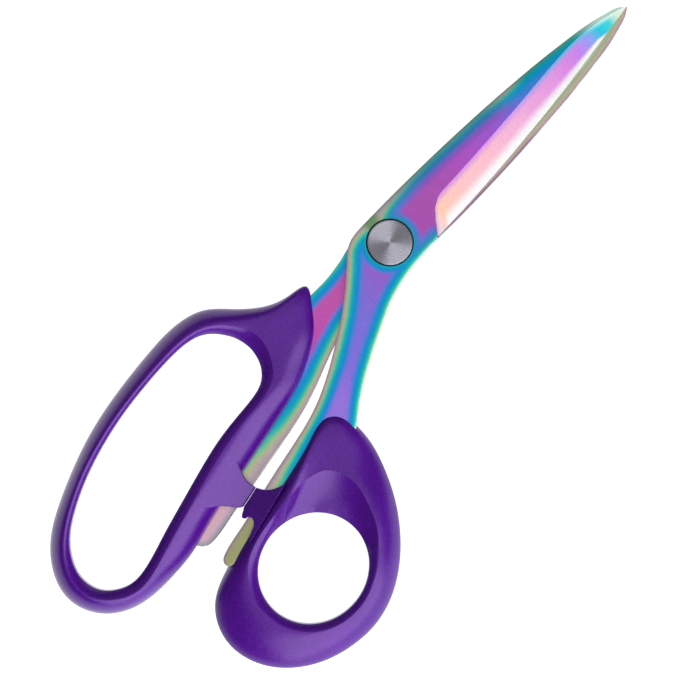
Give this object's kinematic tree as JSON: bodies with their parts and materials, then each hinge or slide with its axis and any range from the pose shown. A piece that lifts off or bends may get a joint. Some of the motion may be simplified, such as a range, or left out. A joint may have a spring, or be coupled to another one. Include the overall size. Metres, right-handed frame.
{
  "type": "craft shears",
  "caption": "Straight-bladed craft shears: two overlapping steel blades on a screw pivot, with a long finger bow and a round thumb bow.",
  "frame": {"origin": "on the pivot's axis, at the level of the surface that the closed shears lie on, which is the underside of the pivot nut", "axes": "+X from the pivot to the blade tips, +Y to the finger bow's side, +Z out of the front face, where the screw head is"},
  "size_m": [0.2413, 0.1051, 0.015],
  "materials": {
    "blade_steel": "polished steel with an iridescent violet, blue and gold coating",
    "bow_plastic": "glossy moulded plastic",
    "pivot_steel": "turned bright steel",
    "washer_black": "matt"
  },
  "bodies": {
    "finger_half": {"back_blade": "blade_steel", "finger_bow": "bow_plastic", "pivot_screw": "pivot_steel", "head_washer": "washer_black", "spring_washer": "pivot_steel", "pivot_nut": "pivot_steel"},
    "thumb_half": {"front_blade": "blade_steel", "thumb_bow": "bow_plastic"}
  },
  "joints": [
    {"name": "pivot", "type": "hinge", "parent": "finger_half", "child": "thumb_half", "pos_m": [0, 0, 0.0075], "axis": [0, 0, 1], "range_deg": [0, 110]}
  ]
}
